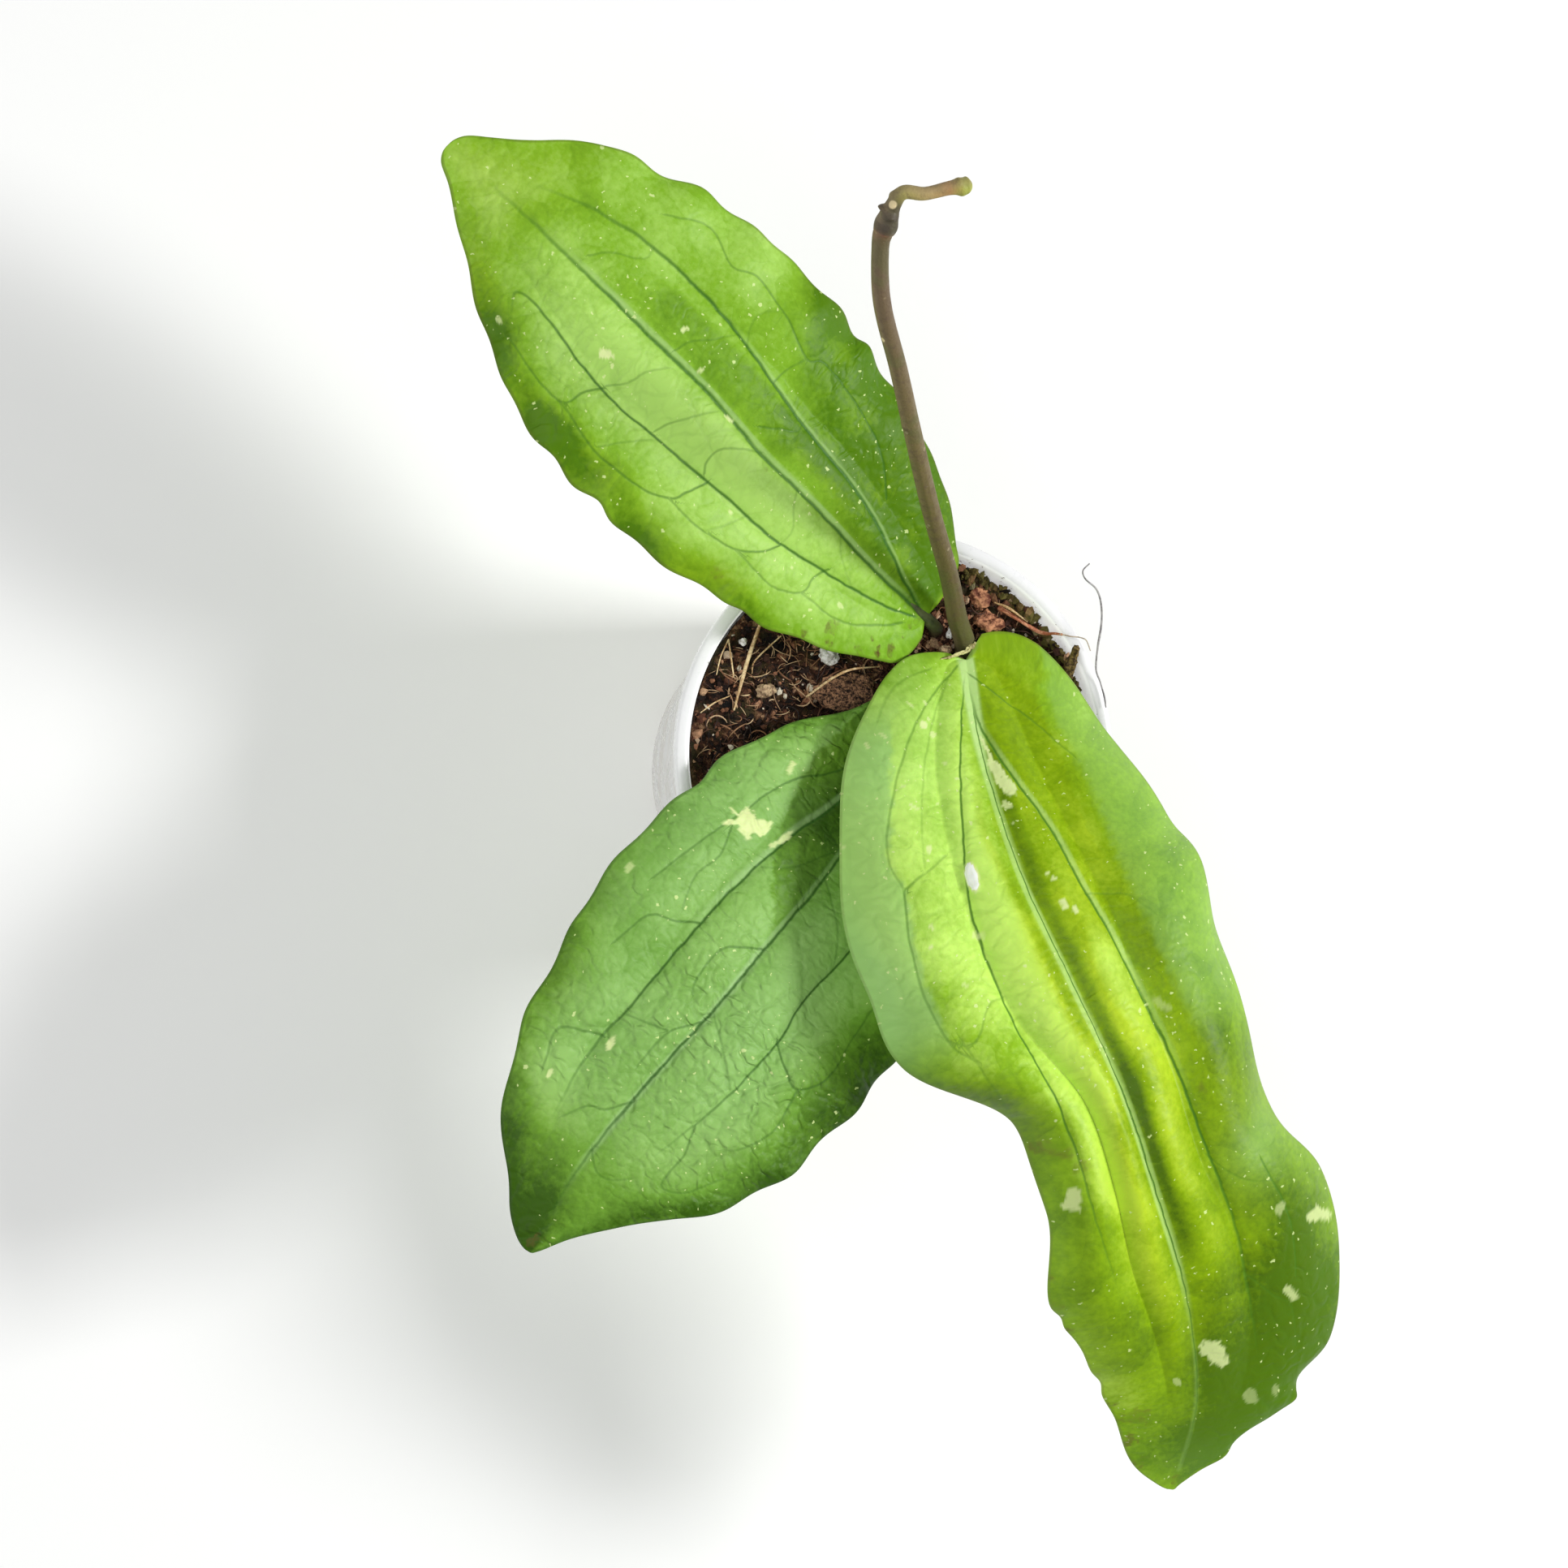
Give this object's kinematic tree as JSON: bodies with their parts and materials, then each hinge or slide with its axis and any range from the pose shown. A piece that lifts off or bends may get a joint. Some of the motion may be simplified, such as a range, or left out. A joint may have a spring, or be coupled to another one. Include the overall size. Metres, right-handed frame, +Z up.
{
  "type": "potted hoya",
  "caption": "Young hoya cutting in a small round nursery pot of frosted plastic: broad, wavy, strongly veined leaves on short stalks and one bare vine, standing in peat",
  "frame": {"origin": "centre of the underside of the pot's floor, where it stands on a table", "axes": "+Z runs up the pot's axis; -Y is the side that the largest, lime green leaf hangs over; +X is to the right seen from there"},
  "size_m": [0.1212, 0.175, 0.1165],
  "materials": {
    "frosted_plastic": "frosted, nearly clear",
    "peat": "matt crumb",
    "leaf_bright": "waxy",
    "leaf_dark": "waxy",
    "leaf_lime": "waxy",
    "vine_bark": "satin",
    "dry_straw": "matt",
    "root_orange": "matt",
    "root_grey": "matt",
    "bark_red": "matt",
    "perlite": "matt",
    "moss_stick": "matt"
  },
  "bodies": {
    "root": {"pot": "frosted_plastic", "soil": "peat", "stem": "vine_bark", "leaf_upper": "leaf_bright", "leaf_left": "leaf_dark", "leaf_right": "leaf_lime", "perlite_lump": "perlite", "fibre_lump": "peat", "tan_lump": "dry_straw", "bark_chip_a": "bark_red", "bark_chip_b": "bark_red", "dry_scale": "dry_straw", "straw_thick": "dry_straw", "straw_thin": "dry_straw", "straw_side": "dry_straw", "straw_tan": "dry_straw", "straw_forked": "dry_straw", "root_orange": "root_orange", "rim_stick": "moss_stick", "root_hair": "root_grey"}
  },
  "joints": []
}
